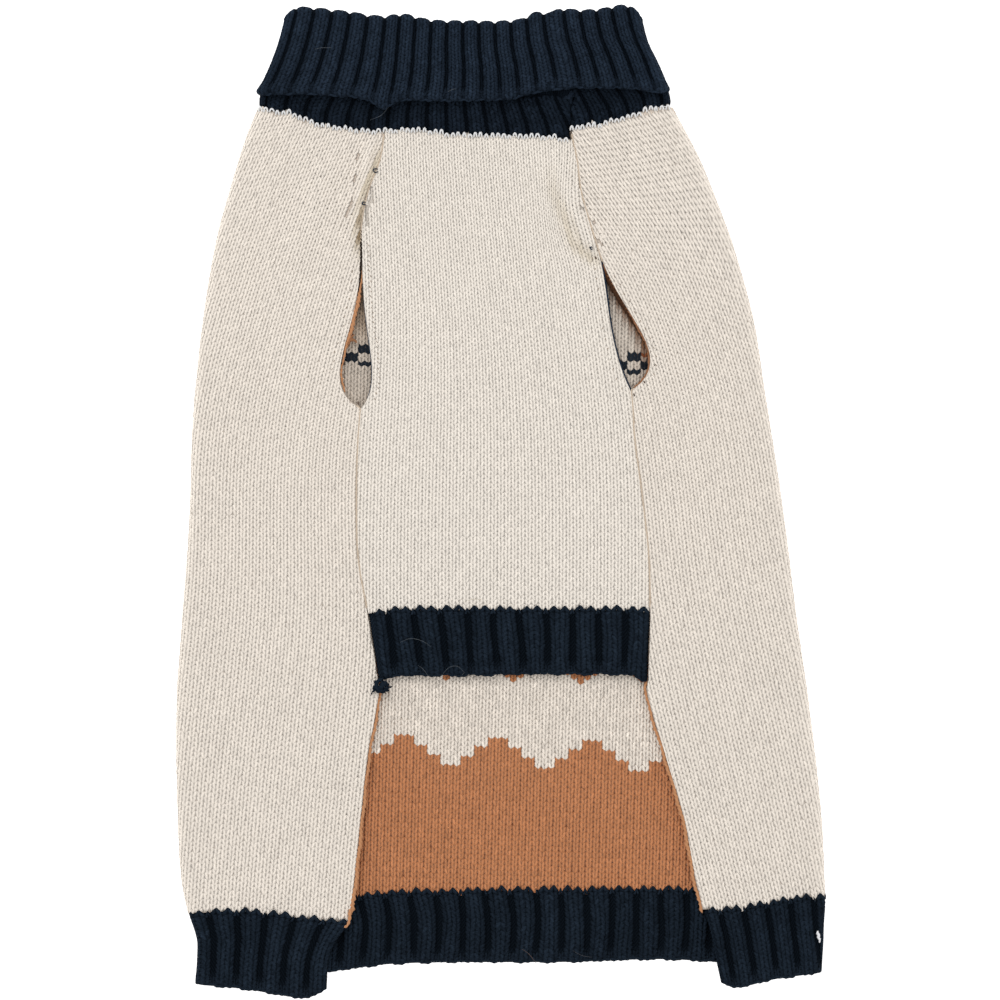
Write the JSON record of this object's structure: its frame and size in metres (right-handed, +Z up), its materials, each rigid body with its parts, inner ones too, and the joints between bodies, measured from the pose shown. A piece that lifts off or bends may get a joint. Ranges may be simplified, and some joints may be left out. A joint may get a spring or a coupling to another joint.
{
  "type": "dog sweater",
  "caption": "Knitted pullover for a dog, laid flat belly side up, with a ribbed turned-down collar, leg openings in its seams, and ribbed hem bands.",
  "frame": {"origin": "on the floor, under the middle of the garment's outline", "axes": "+Y along the garment from the hem to the collar, +X to the right of the belly seen from above, +Z up from the floor"},
  "size_m": [0.299, 0.4573, 0.0117],
  "materials": {
    "knit_back": "plain machine knit in cream wool blend, matt and slightly fuzzy, camel inside",
    "knit_belly": "plain machine knit in cream wool blend, matt and slightly fuzzy",
    "rib_knit": "ribbed knit in navy wool blend, matt and slightly fuzzy"
  },
  "bodies": {
    "root": {"back_panel": "knit_back", "belly_panel": "knit_belly", "collar": "rib_knit", "belly_hem_band": "rib_knit", "back_hem_band": "rib_knit"}
  },
  "joints": []
}
